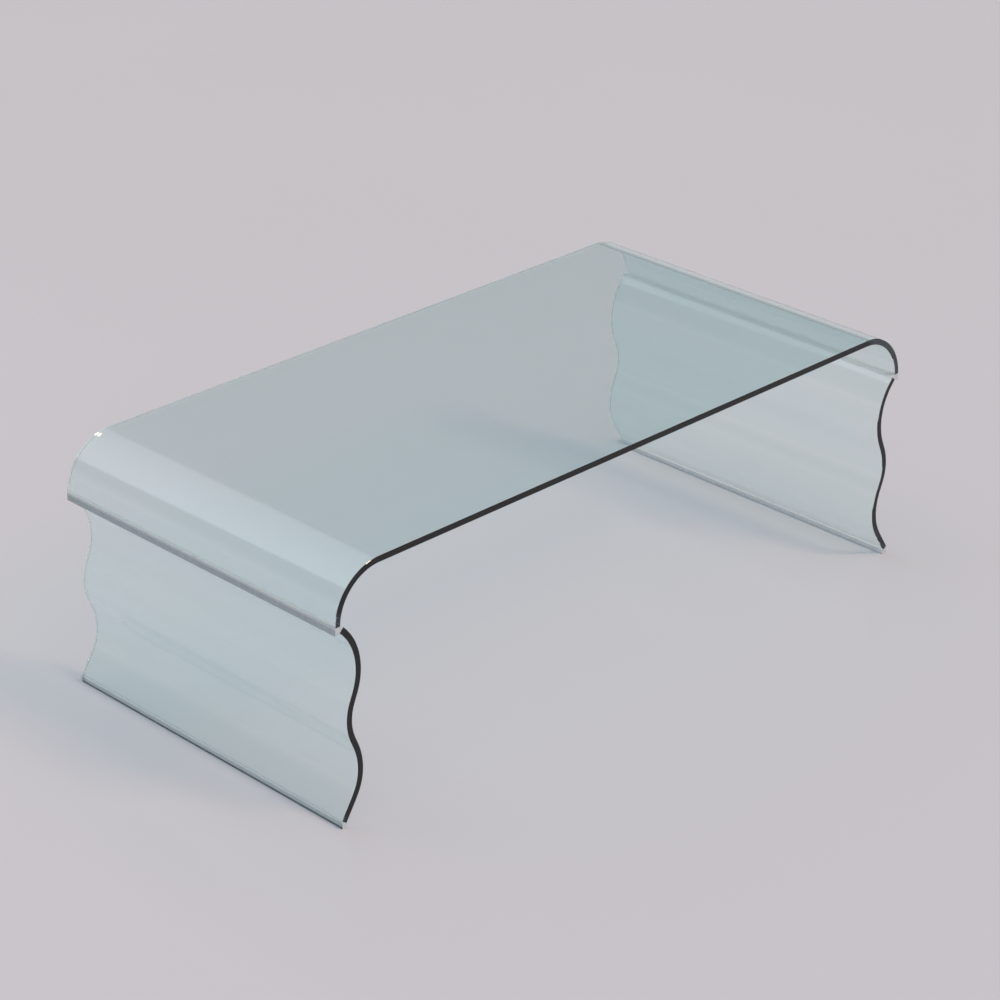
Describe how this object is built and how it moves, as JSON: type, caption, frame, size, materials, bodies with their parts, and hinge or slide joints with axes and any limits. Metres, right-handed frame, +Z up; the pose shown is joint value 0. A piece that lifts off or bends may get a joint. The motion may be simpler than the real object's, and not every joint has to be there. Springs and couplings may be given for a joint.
{
  "type": "coffee table",
  "caption": "Low clear bent-glass coffee table: flat top rolling down at both ends into waved glass legs.",
  "frame": {"origin": "on the floor, under the middle of the top", "axes": "+X along the table's length, +Y from the front edge to the back edge, +Z up"},
  "size_m": [1.232, 0.6, 0.409],
  "materials": {
    "clear_glass": "polished clear float glass, faint blue-green, dark polished edges",
    "clear_resin": "clear UV-cured resin, smooth",
    "clear_strip": "clear soft vinyl strip, smooth"
  },
  "bodies": {
    "root": {"top_panel": "clear_glass", "left_leg_panel": "clear_glass", "right_leg_panel": "clear_glass", "left_crease_joint": "clear_resin", "right_crease_joint": "clear_resin", "left_foot_strip": "clear_strip", "right_foot_strip": "clear_strip"}
  },
  "joints": []
}
